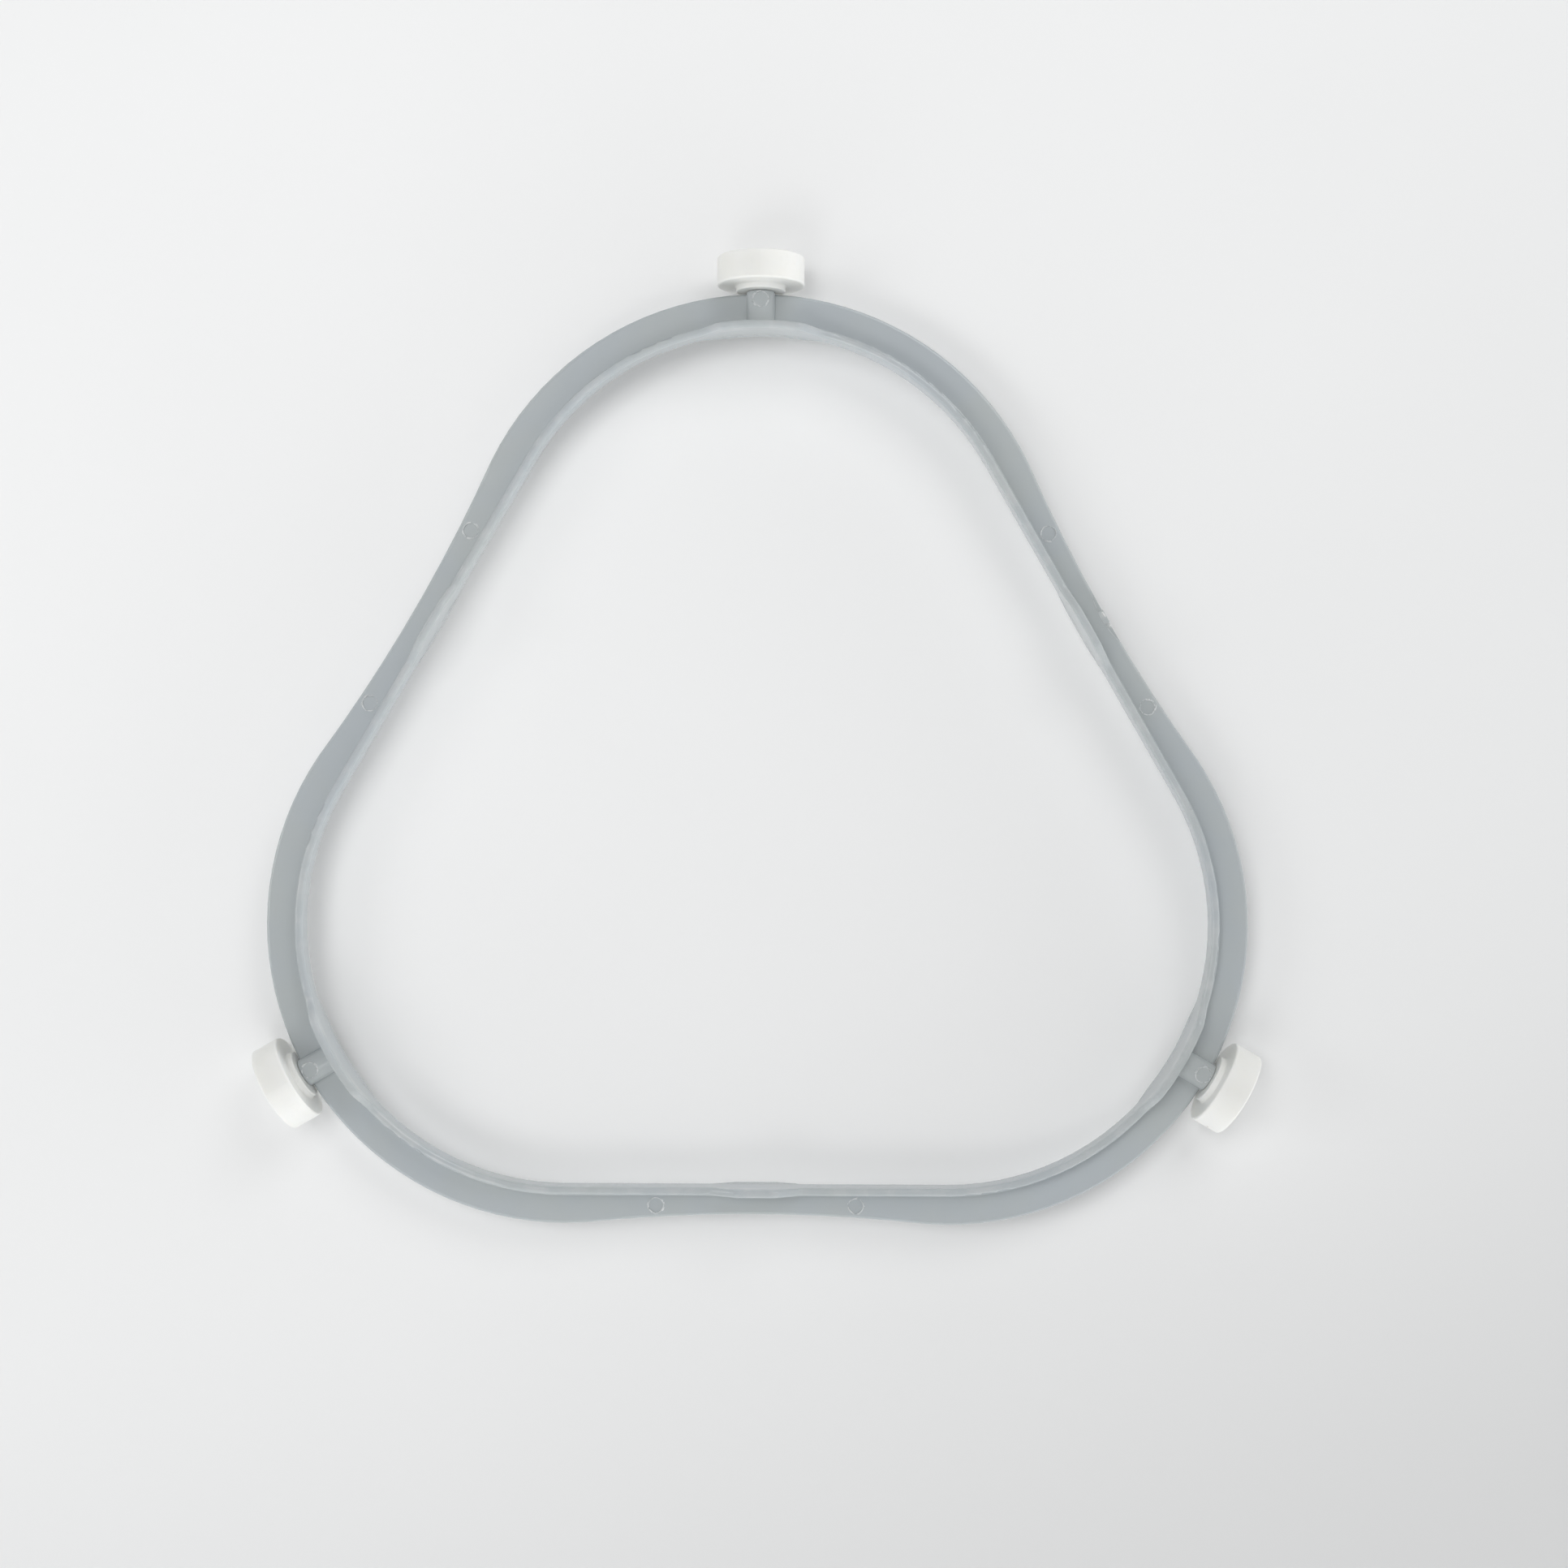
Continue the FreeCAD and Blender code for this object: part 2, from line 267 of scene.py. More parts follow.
@dataclass(frozen=True)
class RingPlan:
    """Plan and heights of the ring, as the solids have them, in metres."""

    lobe_offset: float = 36.5 * MM
    inner_radius: float = 42.9 * MM
    rib_thickness: float = 1.3 * MM
    side_edge: float = 66.05 * MM
    flange_bottom: float = 5.9 * MM
    flange_top: float = 7.2 * MM
    rib_top: float = 10.0 * MM
    boss_radius: float = 2.35 * MM
    lobes: tuple[float, ...] = (90.0, 210.0, 330.0)
    sides: tuple[float, ...] = (30.0, 150.0, 270.0)

    @property
    def side_line(self) -> float:
        """Distance from the ring's centre to the line of two lobe centres."""
        return self.lobe_offset * math.cos(math.radians(60))

    @staticmethod
    def point(outwards: float, along: float, height: float, angle: float) -> Vector:
        """Place a point by a lobe's or a side's own directions.

        Args:
            outwards: Distance from the ring's axis in the direction of the angle.
            along: Distance anticlockwise, square to that direction.
            height: Height above the oven floor.
            angle: Direction from +X, in degrees.

        Returns:
            The point in the shared frame.
        """
        return Matrix.Rotation(math.radians(angle), 3, "Z") @ Vector((outwards, along, height))

    def across(self, shading: Shading) -> Field:
        """Distance outwards from the rib's inner face, as a shader value.

        Args:
            shading: Material that reads it.

        Returns:
            The distance in metres, 0 on the inner face.
        """
        third = math.radians(120)
        turn = shading.x.maths("ARCTAN2", shading.x, shading.y) + third / 2
        thirds = turn / third
        fold = abs(turn - third * thirds.maths("FLOOR", thirds) - third / 2)
        reach = (shading.x * shading.x + shading.y * shading.y).root()
        forward = reach * fold.maths("COSINE", fold) - self.lobe_offset
        sideways = reach * fold.maths("SINE", fold)
        on_arc = (forward * forward + sideways * sideways).root()
        on_side = 0.5 * forward + math.sin(third / 2) * sideways
        past_arc = (0.5 * sideways) > (math.sin(third / 2) * forward)
        return on_arc + past_arc * (on_side - on_arc) - self.inner_radius


@dataclass(frozen=True)
class RingPlastic:
    """Satin blue-grey plastic of the ring, with faint flow marks, and rib crests lightened partly as
    rubbed wear and partly as a painted highlight.
    """

    plan: RingPlan
    cool: Colour = (0.398, 0.432, 0.454)
    warm: Colour = (0.408, 0.437, 0.441)
    rubbed_and_highlight: Colour = (0.500, 0.512, 0.515)
    whitened: Colour = (0.640, 0.645, 0.640)
    roughness: float = 0.15
    refraction: float = 1.58
    flow_grain: float = 14 * MM
    patch_grain: float = 3.2 * MM
    fleck_grain: float = 0.35 * MM
    pore_grain: float = 0.16 * MM
    pore_depth: float = 0.02 * MM
    rub_and_highlight_share: float = 0.45
    scar_share: float = 0.5
    scar_core: float = 0.1 * MM
    scar_radius: float = 0.75 * MM

    def build(self, gate: list[Vector]) -> bpy.types.Material:
        """Make the material.

        Args:
            gate: Points on the torn gate, round which the plastic is whitened.

        Returns:
            The material.
        """
        shading = Shading("ring_plastic_satin")
        flow = shading.cloud(shading.place, self.flow_grain, 2.0, 3.1).rise(0.32, 0.68)
        patch = shading.cloud(shading.place, self.patch_grain, 3.0, 7.7)
        fleck = shading.cloud(shading.place, self.fleck_grain, 2.0, 1.9)
        colour = shading.mix(flow, self.cool, self.warm)
        tone = 0.975 + 0.03 * patch + 0.02 * fleck
        grey = shading.add("ShaderNodeCombineXYZ", sockets={0: tone, 1: tone, 2: tone})
        colour = shading.add("ShaderNodeVectorMath", {"operation": "MULTIPLY"}, {0: colour, 1: grey})
        across = self.plan.across(shading)
        on_rib = 1 - across.rise(self.plan.rib_thickness, self.plan.rib_thickness + 0.1 * MM)
        # The rib's crest is lightened in patches, partly as rubbed wear and partly as a painted highlight
        # along the rib's top.
        crest = shading.z.rise(self.plan.rib_top - 0.5 * MM, self.plan.rib_top)
        rub_and_highlight = on_rib * crest * patch.rise(0.42, 0.70)
        colour = shading.mix(self.rub_and_highlight_share * rub_and_highlight, colour, self.rubbed_and_highlight)
        for point in gate:
            scar = shading.spot(point, self.scar_core, self.scar_radius)
            colour = shading.mix(self.scar_share * scar, colour, self.whitened)
        grain = shading.cloud(shading.place, self.pore_grain, 2.0, 5.3)
        roughness = self.roughness + 0.06 * (patch - 0.5) + 0.04 * (fleck - 0.5) - 0.03 * rub_and_highlight
        relief = 0.7 * grain + 0.3 * fleck
        return shading.finish({
            "Base Color": colour,
            "Roughness": roughness,
            "Normal": shading.bump(relief, 0.02, self.pore_depth),
            "IOR": self.refraction,
        })


@dataclass(frozen=True)
class RollerPlastic:
    """Warm white plastic of the rollers, a little translucent and faintly yellowed."""

    fresh: Colour = (0.785, 0.786, 0.768)
    yellowed: Colour = (0.755, 0.752, 0.710)
    scuffed: Colour = (0.670, 0.670, 0.650)
    burnt: Colour = (0.200, 0.140, 0.090)
    roughness: float = 0.36
    age_grain: float = 9 * MM
    scuff_grain: float = 1.1 * MM
    pore_grain: float = 0.2 * MM
    pore_depth: float = 0.02 * MM
    speck_core: float = 0.10 * MM
    speck_radius: float = 0.24 * MM
    glow_depth: float = 2.0 * MM

    def build(self, speck: Vector) -> bpy.types.Material:
        """Make the material.

        Args:
            speck: Place of a burnt speck in one roller's tread.

        Returns:
            The material.
        """
        shading = Shading("roller_plastic_white")
        age = shading.cloud(shading.place, self.age_grain, 2.0, 2.2).rise(0.38, 0.72)
        scuff = shading.cloud(shading.place, self.scuff_grain, 4.0, 8.4).rise(0.56, 0.78)
        grain = shading.cloud(shading.place, self.pore_grain, 2.0, 4.6)
        colour = shading.mix(0.5 * age, self.fresh, self.yellowed)
        colour = shading.mix(0.16 * scuff, colour, self.scuffed)
        burn = shading.spot(speck, self.speck_core, self.speck_radius)
        colour = shading.mix(0.9 * burn, colour, self.burnt)
        return shading.finish({
            "Base Color": colour,
            "Roughness": self.roughness + 0.12 * scuff + 0.06 * (grain - 0.5),
            "Normal": shading.bump(0.6 * grain + 0.4 * scuff, 0.08, self.pore_depth),
            "IOR": 1.48,
            "Subsurface Weight": 0.35,
            "Subsurface Radius": (1.0, 0.95, 0.85),
            "Subsurface Scale": self.glow_depth,
        })


@dataclass(frozen=True)
class ThinPlastic:
    """Plastic of the ring in another tone: pale where it is thin or torn, and dark along the parting seam
    as painted shade.
    """

    name: str
    low: Colour
    high: Colour
    grain: float
    roughness: float

    def build(self) -> bpy.types.Material:
        """Make the material, blotched between its two tones.

        Returns:
            The material.
        """
        shading = Shading(self.name)
        blotch = shading.cloud(shading.place, self.grain, 3.0, 6.1)
        return shading.finish({
            "Base Color": shading.mix(blotch.rise(0.35, 0.65), self.low, self.high),
            "Roughness": self.roughness + 0.2 * (blotch - 0.5),
            "Normal": shading.bump(blotch, 0.2, 0.02 * MM),
            "IOR": 1.49,
        })


@dataclass(frozen=True)
class TableTop:
    """Plain pale table that the ring lies on."""

    light: Colour = (0.872, 0.874, 0.874)
    shade: Colour = (0.857, 0.859, 0.859)
    painted_shade: Colour = (0.735, 0.737, 0.737)
    far_glow: Colour = (0.42, 0.425, 0.425)
    painted_shade_lean: float = 0.3
    painted_shade_start: float = 0.03
    painted_shade_end: float = 0.18
    glow_start: float = 0.18
    glow_end: float = 0.85
    drift_grain: float = 90 * MM

    def build(self) -> bpy.types.Material:
        """Make the material, which is darkened towards the near right as painted shade and brightens far
        from the lamps so that it meets the backdrop.

        Returns:
            The material.
        """
        shading = Shading("table_top")
        drift = shading.cloud(shading.place, self.drift_grain, 2.0, 1.3)
        colour = shading.mix(drift.rise(0.3, 0.7), self.light, self.shade)
        # Painted shade: the table's colour darkens towards the near right, where less light falls.
        painted_shade_mask = (self.painted_shade_lean * shading.x - shading.y).rise(self.painted_shade_start, self.painted_shade_end)
        away = (shading.x * shading.x + shading.y * shading.y).root()
        # Painted light: the table glows far from the lamps.
        far = away.rise(self.glow_start, self.glow_end)
        return shading.finish({
            "Base Color": shading.mix(painted_shade_mask, colour, self.painted_shade),
            "Roughness": 0.55 + 0.1 * (drift - 0.5),
            "Specular IOR Level": 0.3,
            "Emission Color": shading.mix(far, (0.0, 0.0, 0.0), self.far_glow),
            "Emission Strength": 1.0,
        })


@dataclass
class BeadTree:
    """Geometry Nodes tree that lays an uneven bead of plastic along a guide."""

    sides: int = 8
    thinnest: float = 0.45
    swelling: float = 1.1
    shrink: float = 0.8
    sharpness: float = 12.0
    sizes: tuple[str, ...] = (
        "Step", "Radius", "Wander", "Wander Grain", "Sink", "Sink Grain", "Whole Share", "Seed",
    )

    def build(self) -> bpy.types.NodeTree:
        """Make the tree.

        Returns:
            The tree, with its sizes as named inputs.
        """
        tree = bpy.data.node_groups.new("moulding_bead", "GeometryNodeTree")
        nodes = Nodes(tree)
        tree.interface.new_socket("Guide", in_out="INPUT", socket_type="NodeSocketGeometry")
        for name in self.sizes:
            tree.interface.new_socket(name, in_out="INPUT", socket_type="NodeSocketFloat")
        tree.interface.new_socket("Plastic", in_out="INPUT", socket_type="NodeSocketMaterial")
        tree.interface.new_socket("Bead", in_out="OUTPUT", socket_type="NodeSocketGeometry")
        guide = nodes.add("NodeGroupInput")
        seed = guide.other("Seed")
        place = nodes.add("GeometryNodeInputPosition")
        four = {"noise_dimensions": "4D"}
        often = 1.0 / guide.other("Wander Grain")
        seldom = 1.0 / guide.other("Sink Grain")
        fine = {"Vector": place, "W": seed, "Scale": often, "Detail": 2.0}
        coarse = {"Vector": place, "W": seed + 11.0, "Scale": seldom, "Detail": 2.0}
        jitter = nodes.add("ShaderNodeTexNoise", four, fine, "Color")
        swell = nodes.add("ShaderNodeTexNoise", four, fine)
        gap = nodes.add("ShaderNodeTexNoise", four, coarse)
        centred = {0: jitter, 1: (0.5, 0.5, 0.5)}
        shifted = nodes.add("ShaderNodeVectorMath", {"operation": "SUBTRACT"}, centred)
        wander = {0: shifted, "Scale": guide.other("Wander")}
        offset = nodes.add("ShaderNodeVectorMath", {"operation": "SCALE"}, wander)
        broken = ((gap - guide.other("Whole Share")) * self.sharpness).rise(0.0, 1.0)
        drop = nodes.add("ShaderNodeCombineXYZ", sockets={2: 0.0 - broken * guide.other("Sink")})
        offset = nodes.add("ShaderNodeVectorMath", {"operation": "ADD"}, {0: offset, 1: drop})
        curve = nodes.add("GeometryNodeMeshToCurve", sockets={0: guide})
        resample = {"Curve": curve, "Length": guide.other("Step")}
        curve = nodes.add("GeometryNodeResampleCurve", {"mode": "LENGTH"}, resample)
        curve = nodes.add("GeometryNodeSetPosition", sockets={"Geometry": curve, "Offset": offset})
        round_profile = {"Resolution": self.sides, "Radius": 1.0}
        profile = nodes.add("GeometryNodeCurvePrimitiveCircle", sockets=round_profile)
        scale = guide.other("Radius") * (self.thinnest + self.swelling * swell)
        scale = scale * (1.0 - self.shrink * broken)
        sweep = {"Curve": curve, "Profile Curve": profile, "Scale": scale, "Fill Caps": True}
        bead = nodes.add("GeometryNodeCurveToMesh", sockets=sweep)
        bead = nodes.add("GeometryNodeSetShadeSmooth", sockets={"Geometry": bead})
        bead = nodes.add("GeometryNodeRealizeInstances", sockets={0: bead})
        coat = {"Geometry": bead, "Material": guide.other("Plastic")}
        bead = nodes.add("GeometryNodeSetMaterial", sockets=coat)
        nodes.add("NodeGroupOutput", sockets={0: bead})
        return tree


@dataclass(frozen=True)
class Bead:
    """Sizes of one kind of bead, in metres."""

    step: float
    radius: float
    wander: float
    wander_grain: float
    sink: float
    sink_grain: float
    whole_share: float
    seed: float

    def lay(
        self,
        name: str,
        guide: Guide,
        tree: bpy.types.NodeTree,
        plastic: bpy.types.Material,
    ) -> bpy.types.Object:
        """Lay the bead along its guides.

        Args:
            name: Name of the new piece.
            guide: Lines that the bead follows, each with whether it is closed.
            tree: Geometry Nodes tree of the bead.
            plastic: Material of the bead.

        Returns:
            The piece, as a plain mesh.
        """
        verts, edges = [], []
        for points, closed in guide:
            first = len(verts)
            verts += points
            edges += [(index, index + 1) for index in range(first, len(verts) - 1)]
            if closed:
                edges.append((len(verts) - 1, first))
        lines = bpy.data.meshes.new(name + "_guide")
        lines.from_pydata(verts, edges, [])
        piece = bpy.data.objects.new(name, lines)
        bpy.context.scene.collection.objects.link(piece)
        modifier = piece.modifiers.new("bead", "NODES")
        modifier.node_group = tree
        values = {
            "Step": self.step,
            "Radius": self.radius,
            "Wander": self.wander,
            "Wander Grain": self.wander_grain,
            "Sink": self.sink,
            "Sink Grain": self.sink_grain,
            "Whole Share": self.whole_share,
            "Seed": self.seed,
            "Plastic": plastic,
        }
        for socket in tree.interface.items_tree:
            if socket.in_out == "INPUT" and socket.name in values:
                modifier[socket.identifier] = values[socket.name]
        whole = piece.evaluated_get(bpy.context.evaluated_depsgraph_get())
        mesh = bpy.data.meshes.new_from_object(whole)
        piece.modifiers.clear()
        piece.data = mesh
        bpy.data.meshes.remove(lines)
        mesh.name = name
        return piece


@dataclass
class RingFrame:
    """The grey moulding, with what its mould has left on it."""

    plan: RingPlan
    mark_radius: float = 1.25 * MM
    mark_outwards: float = 64.55 * MM
    mark_along: float = 16.5 * MM
    boss_mark: float = 84.6 * MM
    boss_flat: float = 9.4 * MM
    side_seam: float = 13.2 * MM
    lobe_seam: float = 18.6 * MM
    gate_side: float = 30.0
    relief_width: float = 0.85 * MM
    relief_radius: float = 15.74 * MM
    relief_half: float = 4.9 * MM
    hollow_radius: float = 269.7 * MM
    edge_radius: float = 0.5 * MM
    flash_sink: float = 0.06 * MM
    burr_sink: float = 0.02 * MM
    rim_gap: float = 0.14 * MM
    gate_tears: tuple[tuple[float, float, float], ...] = (
        (-0.15 * MM, 0.40 * MM, -0.22 * MM),
        (-0.06 * MM, -1.60 * MM, -0.33 * MM),
    )
    circle_steps: int = 80
    line_steps: int = 40

    def gate_points(self) -> list[Vector]:
        """Place the two torn spots at the gate.

        Returns:
            Their middles, on the flange's outer edge.
        """
        edge, top = self.plan.side_edge, self.plan.flange_top
        return [
            self.plan.point(edge + out, along, top + up, self.gate_side)
            for out, along, up in self.gate_tears
        ]

    def circle(
        self, angle: float, outwards: float, along: float, radius: float
    ) -> list[tuple[Vector, float]]:
        """Points round an ejector mark.

        Args:
            angle: Direction of the side or lobe that carries the mark.
            outwards: Mark's centre from the ring's axis.
            along: Mark's centre beside that direction.
            radius: Radius of the circle.

        Returns:
            Points at height 0, each with how far it lies beside the direction.
        """
        points = []
        for index in range(self.circle_steps):
            turn = 2 * math.pi * index / self.circle_steps
            beside = along + radius * math.sin(turn)
            out = outwards + radius * math.cos(turn)
            points.append((self.plan.point(out, beside, 0.0, angle), beside))
        return points

    def flash_guide(self, radius: float) -> Guide:
        """Lines round the nine ejector marks.

        Args:
            radius: Radius of the lines.

        Returns:
            Closed lines on the flange's top and over the bosses' crowns.
        """
        guide = []
        for angle in self.plan.sides:
            for along in (-self.mark_along, self.mark_along):
                ring = self.circle(angle, self.mark_outwards, along, radius)
                height = self.plan.flange_top - self.flash_sink
                guide.append(([Vector((p.x, p.y, height)) for p, _ in ring], True))
        for angle in self.plan.lobes:
            ring = self.circle(angle, self.boss_mark, 0.0, radius)
            line = []
            for point, beside in ring:
                crown = self.plan.flange_top + math.sqrt(self.plan.boss_radius ** 2 - beside ** 2)
                line.append(Vector((point.x, point.y, max(crown, self.boss_flat) - self.flash_sink)))
            guide.append((line, True))
        return guide

    def seam_guide(self) -> Guide:
        """Lines on the rib's inner face where the mould's halves met, one on each bump.

        Returns:
            Open lines at the height of the rib's foot.
        """
        height = self.plan.flange_bottom
        steps = self.line_steps
        guide = []
        for angle in self.plan.sides:
            out = self.plan.side_line + self.plan.inner_radius
            ends = [self.side_seam * (index / steps - 0.5) for index in range(steps + 1)]
            guide.append(([self.plan.point(out, along, height, angle) for along in ends], False))
        for angle in self.plan.lobes:
            spread = self.lobe_seam / self.plan.inner_radius
            line = []
            for index in range(steps + 1):
                turn = spread * (index / steps - 0.5)
                out = self.plan.lobe_offset + self.plan.inner_radius * math.cos(turn)
                along = self.plan.inner_radius * math.sin(turn)
                line.append(self.plan.point(out, along, height, angle))
            guide.append((line, False))
        return guide

    def gate_guide(self) -> Guide:
        """Line along the inner border of the shallow relief at the gate.

        Returns:
            One open line on the flange's top, which dips where it nears the rounded edge.
        """
        steps = self.line_steps
        line = []
        for index in range(steps + 1):
            along = self.relief_half * (2 * index / steps - 1)
            bow = self.relief_radius - math.sqrt(self.relief_radius ** 2 - along ** 2)
            inwards = self.relief_width - bow
            inset = inwards + along ** 2 / (2 * self.hollow_radius)
            short = max(0.0, self.edge_radius - inset)
            drop = self.edge_radius - math.sqrt(self.edge_radius ** 2 - short ** 2)
            height = self.plan.flange_top - drop - self.burr_sink
            line.append(self.plan.point(self.plan.side_edge - inwards, along, height, self.gate_side))
        return [(line, False)]

    def gate_scar(self, plastic: bpy.types.Material) -> bpy.types.Object:
        """Torn shreds where the gate was broken off.

        Args:
            plastic: Material of the torn plastic.

        Returns:
            The piece.
        """
        shreds = [(Vector((0.11, 0.48, 0.08)) * MM, 8.0), (Vector((0.15, 0.27, 0.12)) * MM, -24.0)]
        shape = bmesh.new()
        for index, (point, (size, twist)) in enumerate(zip(self.gate_points(), shreds)):
            made = bmesh.ops.create_icosphere(shape, subdivisions=4, radius=1.0)
            turn = Matrix.Rotation(math.radians(self.gate_side + twist), 3, "Z")
            for vert in made["verts"]:
                rough = 1.0 + 0.8 * noise.noise(vert.co * 2.6 + Vector((7.1 * index, 0.0, 0.0)))
                vert.co = point + turn @ (vert.co * size * rough)
        mesh = bpy.data.meshes.new("gate_scar")
        shape.to_mesh(mesh)
        shape.free()
        mesh.materials.append(plastic)
        mesh.shade_smooth()
        piece = bpy.data.objects.new("gate_scar", mesh)
        bpy.context.scene.collection.objects.link(piece)
        return piece

    def carry(self, piece: bpy.types.Object) -> None:
        """Let a piece ride on the ring.

        Args:
            piece: The piece, as a plain mesh.
        """
        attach(piece, Body.RING.value)
        log.info("%s: %d faces", piece.name, len(piece.data.polygons))

    def build(self) -> None:
        """Dress the solid, and add flash, seams and the torn gate."""
        dress(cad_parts["ring_frame"], RingPlastic(self.plan).build(self.gate_points()))
        tree = BeadTree().build()
        pale = ThinPlastic(
            "flash_plastic", (0.44, 0.465, 0.475), (0.63, 0.645, 0.65), grain=0.6 * MM, roughness=0.40
        ).build()
        # The parting seam's dark tone is painted shade of the step where the mould's halves met.
        seam_shade = ThinPlastic(
            "seam_painted_shade", (0.28, 0.295, 0.30), (0.40, 0.42, 0.425), grain=0.8 * MM, roughness=0.55
        ).build()
        torn = ThinPlastic(
            "torn_plastic", (0.56, 0.57, 0.57), (0.88, 0.88, 0.87), grain=0.25 * MM, roughness=0.6
        ).build()
        flash = Bead(
            step=0.07 * MM, radius=0.11 * MM, wander=0.18 * MM, wander_grain=0.9 * MM,
            sink=0.10 * MM, sink_grain=0.8 * MM, whole_share=0.54, seed=2.7,
        )
        second = Bead(
            step=0.07 * MM, radius=0.09 * MM, wander=0.20 * MM, wander_grain=0.8 * MM,
            sink=0.12 * MM, sink_grain=0.9 * MM, whole_share=0.46, seed=9.4,
        )
        border = Bead(
            step=0.10 * MM, radius=0.040 * MM, wander=0.03 * MM, wander_grain=0.9 * MM,
            sink=0.03 * MM, sink_grain=0.9 * MM, whole_share=0.56, seed=3.3,
        )
        seam = Bead(
            step=0.08 * MM, radius=0.040 * MM, wander=0.03 * MM, wander_grain=0.9 * MM,
            sink=0.0, sink_grain=0.5 * MM, whole_share=0.5, seed=5.2,
        )
        rim = self.mark_radius + self.rim_gap
        self.carry(flash.lay("ejector_flash", self.flash_guide(self.mark_radius), tree, pale))
        self.carry(second.lay("ejector_flash_rim", self.flash_guide(rim), tree, pale))
        self.carry(border.lay("gate_border", self.gate_guide(), tree, pale))
        self.carry(seam.lay("parting_seam", self.seam_guide(), tree, seam_shade))
        self.carry(self.gate_scar(torn))


@dataclass
class Rollers:
    """The three white rollers, which are the solids in a finer plastic."""

    names: tuple[str, ...] = ("roller_back", "roller_left", "roller_right")
    speck: Vector = Vector((74.1 * MM, -50.9 * MM, 8.8 * MM))

    def build(self) -> None:
        """Dress each roller."""
        plastic = RollerPlastic().build(self.speck)
        for name in self.names:
            dress(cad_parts[name], plastic)


def dress(node: bpy.types.Object, material: bpy.types.Material) -> None:
    """Give a CAD node its material.

    Args:
        node: Object of the CAD node.
        material: Its finish.
    """
    node.data.materials.clear()
    node.data.materials.append(material)
    log.info("%s: dressed in %s", node.name, material.name)


@dataclass(frozen=True)
class SoftLight:
    """Square area light that looks at the middle of the ring.

    Angles are in degrees, from +X and up from the table, lengths in metres and power in watts. A
    light that isn't mirrored lights the scene without showing in reflections.
    """

    name: str
    azimuth: float
    elevation: float
    side: float
    power: float
    distance: float = 0.75
    mirrored: bool = True

    def build(self) -> None:
        """Make the light, which the camera doesn't see."""
        lamp = bpy.data.lights.new(self.name, "AREA")
        lamp.shape = "SQUARE"
        lamp.size = self.side
        lamp.energy = self.power
        light = bpy.data.objects.new(self.name, lamp)
        turn = Euler((0.0, math.radians(90.0 - self.elevation), math.radians(self.azimuth)))
        light.location = turn.to_matrix() @ Vector((0.0, 0.0, self.distance))
        light.rotation_euler = turn
        light.visible_camera = False
        light.visible_glossy = self.mirrored
        bpy.context.scene.collection.objects.link(light)


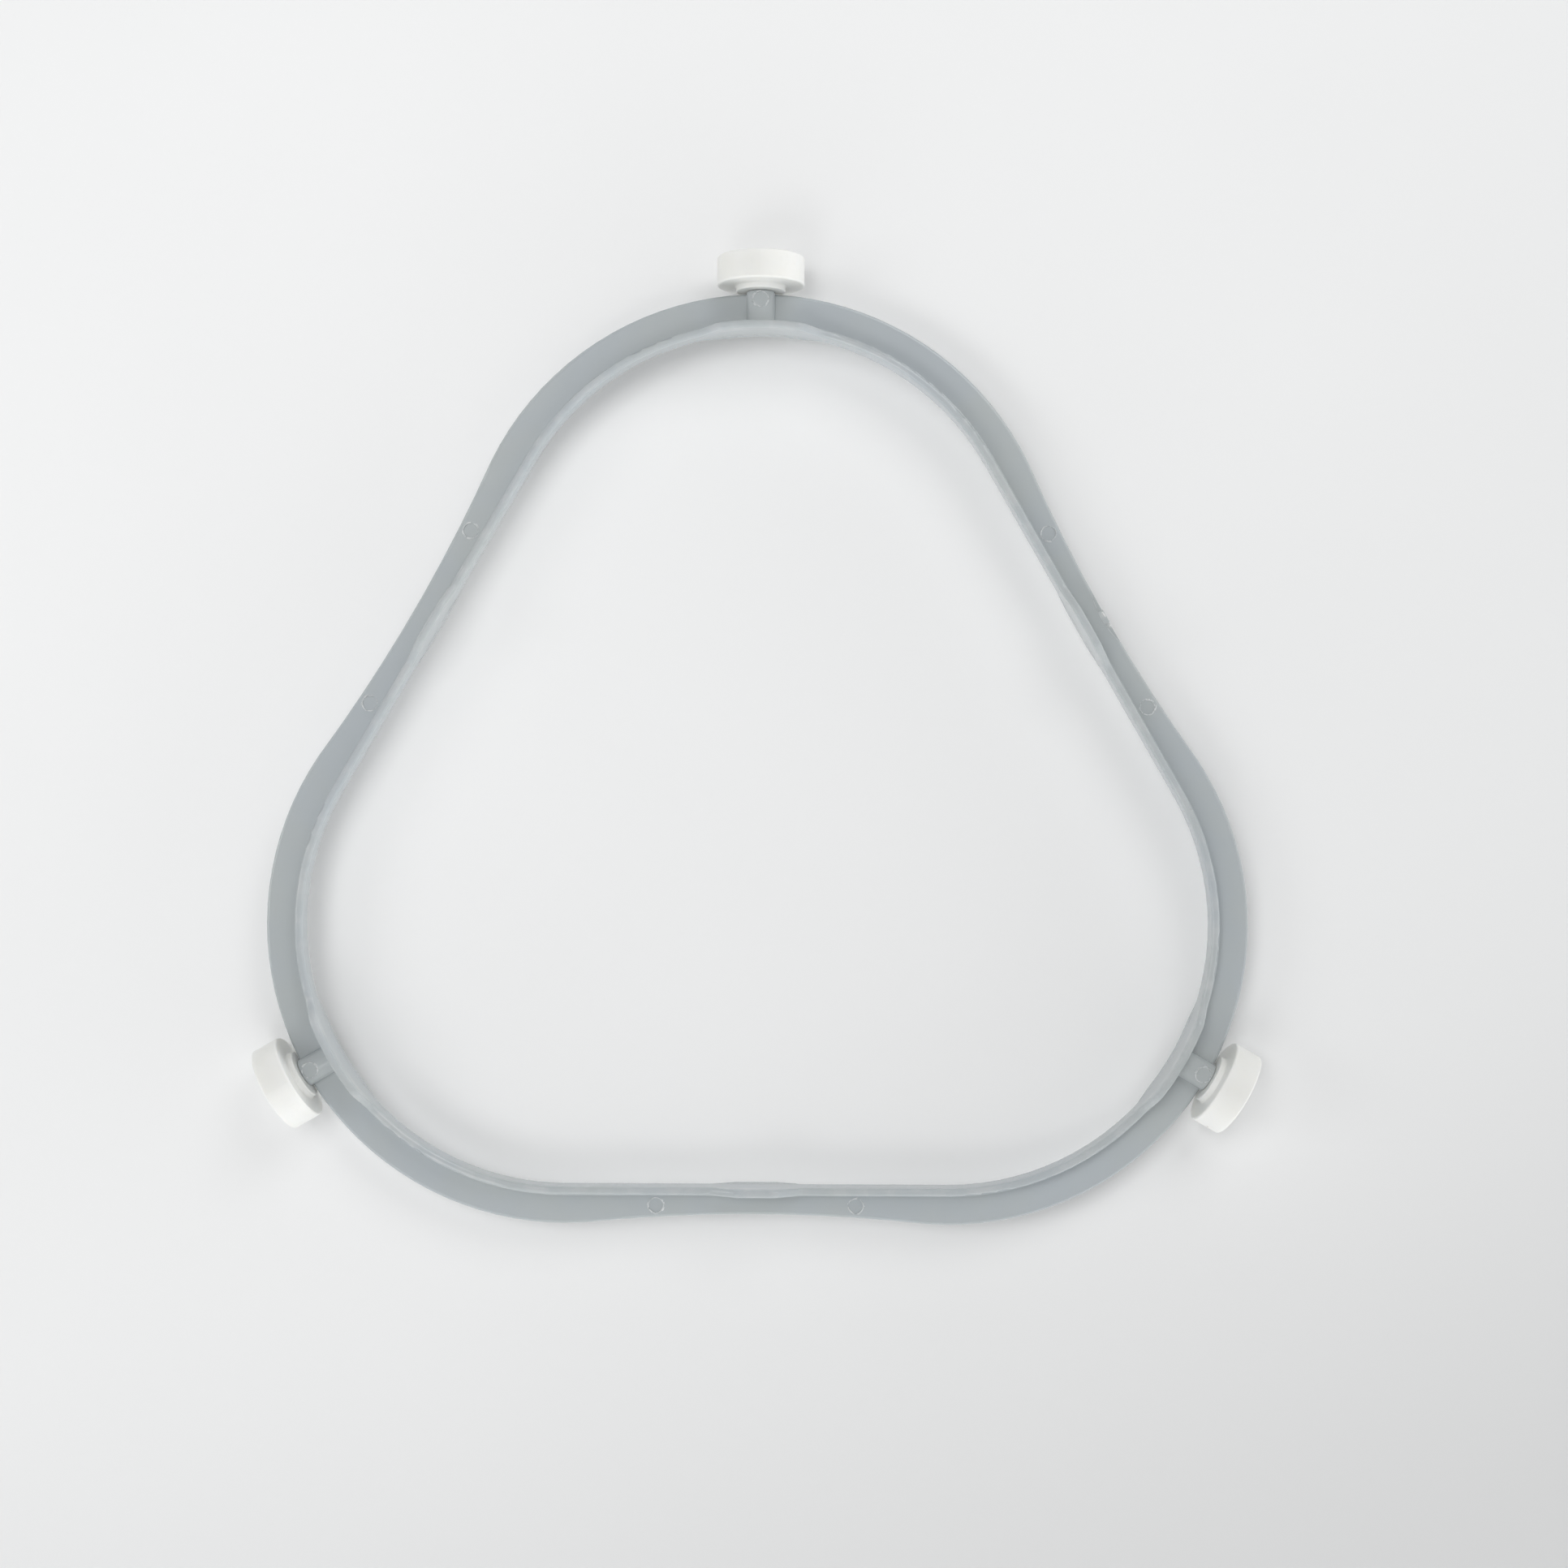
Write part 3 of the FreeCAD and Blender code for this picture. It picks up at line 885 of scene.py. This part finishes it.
@dataclass
class Studio:
    """Table, soft light, surroundings and camera."""

    table_side: float = 8.0
    table_drop: float = 0.02 * MM
    surround: float = 0.02
    horizon: float = 2.57
    horizon_height: float = 0.5
    lean_right: float = 0.56
    lean_near: float = 0.44
    sky: float = 0.465
    sky_rise: tuple[float, float] = (0.2, 0.55)
    sky_fall: tuple[float, float] = (0.65, 0.95)
    below: float = 0.9
    below_edge: float = -0.06
    surround_colour: Colour = (0.985, 0.995, 1.0)
    backdrop: Colour = (0.90, 0.905, 0.905)
    eye: Vector = Vector((4.26 * MM, 5.03 * MM, 367.36 * MM))
    tilt: tuple[float, float, float] = (0.0, 0.0, 0.31)
    focal_pixels: float = 2690.0
    sensor: float = 36.0
    clip: tuple[float, float] = (0.01, 50.0)

    def build(self) -> None:
        """Make the whole studio."""
        self.lay_table()
        self.hang_lights()
        self.wrap_world()
        self.set_camera()
        bpy.context.scene.view_settings.view_transform = "Standard"

    def lay_table(self) -> None:
        """Lay the pale table just under the rollers."""
        half = self.table_side / 2
        corners = [(-half, -half), (half, -half), (half, half), (-half, half)]
        mesh = bpy.data.meshes.new("table")
        mesh.from_pydata([(x, y, -self.table_drop) for x, y in corners], [], [(0, 1, 2, 3)])
        mesh.materials.append(TableTop().build())
        table = bpy.data.objects.new("table", mesh)
        bpy.context.scene.collection.objects.link(table)

    def hang_lights(self) -> None:
        """Hang one light overhead and three round the ring."""
        lights = [
            SoftLight(
                "overhead", azimuth=141.0, elevation=72.0, side=0.30, power=1.50,
                distance=0.70, mirrored=False,
            ),
            SoftLight("back_right", azimuth=60.0, elevation=45.0, side=0.34, power=1.08),
            SoftLight("near_left", azimuth=240.0, elevation=54.0, side=0.26, power=0.62),
            SoftLight("left", azimuth=180.0, elevation=36.0, side=0.26, power=0.52),
        ]
        for light in lights:
            light.build()

    def wrap_world(self) -> None:
        """Light the scene softly from the horizon, and show the camera and reflections a pale backdrop."""
        world = bpy.data.worlds.new("surround")
        bpy.context.scene.world = world
        world.use_nodes = True
        nodes = Nodes(world.node_tree)
        right = nodes.add("ShaderNodeSeparateXYZ", sockets={0: nodes.add("ShaderNodeTexCoord")})
        back, up = right.other("Y"), right.other("Z")
        low = 1 - up.rise(0.0, self.horizon_height)
        middle = up.rise(*self.sky_rise) * (1 - up.rise(*self.sky_fall))
        lean = 1 + self.lean_right * right - self.lean_near * back
        above = self.horizon * low * lean + self.sky * middle * (1 - back) + self.surround
        strength = self.below + up.rise(self.below_edge, 0.0) * (above - self.below)
        glow = {"Color": (*self.surround_colour, 1.0), "Strength": strength}
        lit = nodes.add("ShaderNodeBackground", sockets=glow)
        plain = {"Color": (*self.backdrop, 1.0), "Strength": 1.0}
        pale = nodes.add("ShaderNodeBackground", sockets=plain)
        ray = nodes.add("ShaderNodeLightPath", output="Is Camera Ray")
        seen = ray + ray.other("Is Glossy Ray") + ray.other("Is Transmission Ray")
        shown = nodes.add("ShaderNodeMixShader", sockets={0: seen, 1: lit, 2: pale})
        nodes.add("ShaderNodeOutputWorld", sockets={"Surface": shown})

    def set_camera(self) -> None:
        """Set the camera straight over the ring, as in the photograph."""
        lens = bpy.data.cameras.new("overhead_camera")
        lens.sensor_width = self.sensor
        lens.lens = self.sensor * self.focal_pixels / PHOTO_SIDE
        lens.clip_start, lens.clip_end = self.clip
        camera = bpy.data.objects.new("overhead_camera", lens)
        camera.location = self.eye
        camera.rotation_euler = Euler([math.radians(angle) for angle in self.tilt])
        bpy.context.scene.collection.objects.link(camera)
        bpy.context.scene.camera = camera


def main() -> None:
    """Build the ring, its rollers and the studio in order."""
    logging.basicConfig(level=logging.INFO, format="%(name)s: %(message)s")
    RingFrame(RingPlan()).build()
    Rollers().build()
    Studio().build()


if __name__ == "__main__":
    main()
